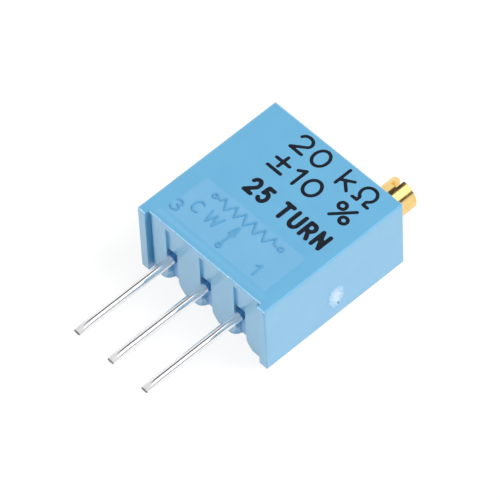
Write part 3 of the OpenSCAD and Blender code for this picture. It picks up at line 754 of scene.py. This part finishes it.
def draw_stroke(start, end, width):
    """A rounded bar: half of a ball is drawn out from one end to the other."""
    run = Vector((end[0] - start[0], end[1] - start[1], 0))
    turn = math.atan2(run.y, run.x)
    bpy.ops.mesh.primitive_uv_sphere_add(segments=16, ring_count=8, radius=width / 2,
                                         location=(start[0], start[1], 0), rotation=(0, 0, turn))
    bar = bpy.context.object
    bpy.ops.object.mode_set(mode="EDIT")
    pick_faces(bar, lambda place: place.x > 0)
    bpy.ops.mesh.extrude_region_move(TRANSFORM_OT_translate={"value": run})
    bpy.ops.object.mode_set(mode="OBJECT")
    return bar


def draw_lines(lines, width, voxel):
    """Bars along each line, melted into one skin."""
    bpy.ops.object.select_all(action="DESELECT")
    bars = [draw_stroke(a, b, width) for line in lines for a, b in zip(line, line[1:])]
    for bar in bars:
        bar.select_set(True)
    bpy.context.view_layer.objects.active = bars[0]
    bpy.ops.object.join()
    piece = bpy.context.object
    bpy.ops.object.transform_apply(location=True, rotation=True, scale=True)
    melt = piece.modifiers.new("melt", "REMESH")
    melt.mode = "VOXEL"
    melt.voxel_size = voxel
    bpy.ops.object.modifier_apply(modifier=melt.name)
    even = piece.modifiers.new("even", "SMOOTH")
    even.iterations = 4
    bpy.ops.object.modifier_apply(modifier=even.name)
    bpy.ops.object.shade_smooth()
    return piece


def press_flat(piece, level, rise):
    """Lowers the top of a piece of bars to rise above the level, and trims off what lies under that level."""
    top = max(vertex.co.z for vertex in piece.data.vertices)
    piece.scale.z = rise / top
    piece.location.z = level
    only(piece)
    bpy.ops.object.transform_apply(location=True, rotation=True, scale=True)
    bpy.ops.object.mode_set(mode="EDIT")
    bpy.ops.mesh.select_all(action="SELECT")
    bpy.ops.mesh.bisect(plane_co=(0, 0, level - 0.3 * rise), plane_no=(0, 0, 1),
                        clear_inner=True, use_fill=True)
    bpy.ops.object.mode_set(mode="OBJECT")


def resistor_sign():
    """The resistor between its two end points, and the arrow of its moving tap with its own point."""
    zigzag = [(-1.845, 3.67), (-1.415, 3.07), (-1.045, 3.70), (-0.735, 3.10), (-0.385, 3.70), (-0.015, 3.07),
              (0.335, 3.70), (0.715, 3.07), (1.055, 3.70), (1.415, 3.07), (1.815, 3.70), (1.985, 3.35)]
    resistor = [(-2.2, 3.37), (-2.0, 3.37)] + zigzag + [(2.335, 3.35)]
    stem = [(0, 1.5), (0, 2.3)]
    arrow = [(0, 2.85), (-0.18, 2.25), (0.18, 2.25), (0, 2.85)]
    arrow_fill = [(-0.07, 2.3), (0, 2.7), (0.07, 2.3)]
    ends = ((-2.4, 3.38), (2.47, 3.38), (0, 1.33))
    return [resistor, stem, arrow, arrow_fill] + [arc(end, (POINT_R, POINT_R), 0, 360, 30) for end in ends]


def make_raised_marks():
    """The marks moulded into the panel: the resistor sign, CW, and the numbers of the end pins."""
    lines = resistor_sign()
    lines += lettering("C", (-2.80, -2.22, 1.91, 2.64)) + lettering("W", (-1.80, -0.94, 1.91, 2.64))
    lines += lettering("3", (-3.64, -3.14, 1.25, 1.95)) + lettering("1", (2.34, 2.59, 1.27, 1.98))
    placed = [[(x + MARKS_SHIFT[0], y + MARKS_SHIFT[1]) for x, y in line] for line in lines]
    marks = draw_lines(placed, MARKS_STROKE, MARKS_GRID)
    press_flat(marks, PANEL_Z, MARKS_RISE)
    set_down(marks, "raised_marks", (relief_blue_painted_shade(),))


def make_printed_line(name, text, box, stroke, gap):
    """One line of black stamping that fills its box on the face."""
    left, right, low, high = box
    half = stroke / 2
    signs = lettering(text, (left + half, right - half, low + half, high - half), gap)
    line = draw_lines(signs, stroke, INK_GRID)
    press_flat(line, TOP_Z, INK_RISE)
    set_down(line, name, (INK,))


make_raised_marks()
for printed in PRINT:
    make_printed_line(*printed)


# ---------------------------------------------------------------- marks of the moulding

SCAR = (SIDE_X, 4.95, -0.70)                 # middle of the gate scar
SCAR_REACH = (0.3, 0.60, 0.92)               # how far its whitening reaches
SCAR_RISE = 0.016                            # how far it stands proud before it is torn up


def make_gate_scar():
    """The rough spot on the side wall where the runner was snapped off."""
    bpy.ops.object.select_all(action="DESELECT")
    bpy.ops.mesh.primitive_uv_sphere_add(segments=96, ring_count=64, radius=1, location=SCAR)
    scar = bpy.context.object
    scar.scale = (SCAR_RISE, SCAR_REACH[1], SCAR_REACH[2])
    bpy.ops.object.transform_apply(location=False, rotation=False, scale=True)
    crumble = bpy.data.textures.new("crumble", "CLOUDS")
    crumble.noise_scale = 0.13
    crumble.noise_depth = 2
    tear = scar.modifiers.new("tear", "DISPLACE")
    tear.texture = crumble
    tear.texture_coords = "LOCAL"
    tear.strength = 0.03
    tear.mid_level = 0.5
    tear.direction = "X"
    bpy.ops.object.modifier_apply(modifier=tear.name)
    bpy.ops.object.shade_smooth()
    set_down(scar, "gate_scar", (torn_plastic(SCAR, SCAR_REACH),))


def make_speck(name, place, size, finish):
    """A small uneven grain of plastic."""
    bpy.ops.object.select_all(action="DESELECT")
    bpy.ops.mesh.primitive_ico_sphere_add(subdivisions=3, radius=1, location=place)
    speck = bpy.context.object
    speck.scale = size
    bpy.ops.object.mode_set(mode="EDIT")
    bpy.ops.mesh.select_all(action="SELECT")
    bpy.ops.transform.vertex_random(offset=0.12, seed=3)
    bpy.ops.object.mode_set(mode="OBJECT")
    bpy.ops.object.shade_smooth()
    set_down(speck, name, (finish,))


PIT_SHADE = pit_shade_blue()
make_gate_scar()
# the pit and the nick are dark specks of painted shade
make_speck("scar_pit", (SIDE_X, 5.08, -1.35), (0.022, 0.065, 0.12), PIT_SHADE)
make_speck("scar_nick", (SIDE_X, 4.59, -1.28), (0.018, 0.04, 0.05), PIT_SHADE)
make_speck("lip_burr", (1.79, WALL_Y + 0.02, TOP_Z - 0.02), (0.06, 0.05, 0.045), pale_burr_blue())
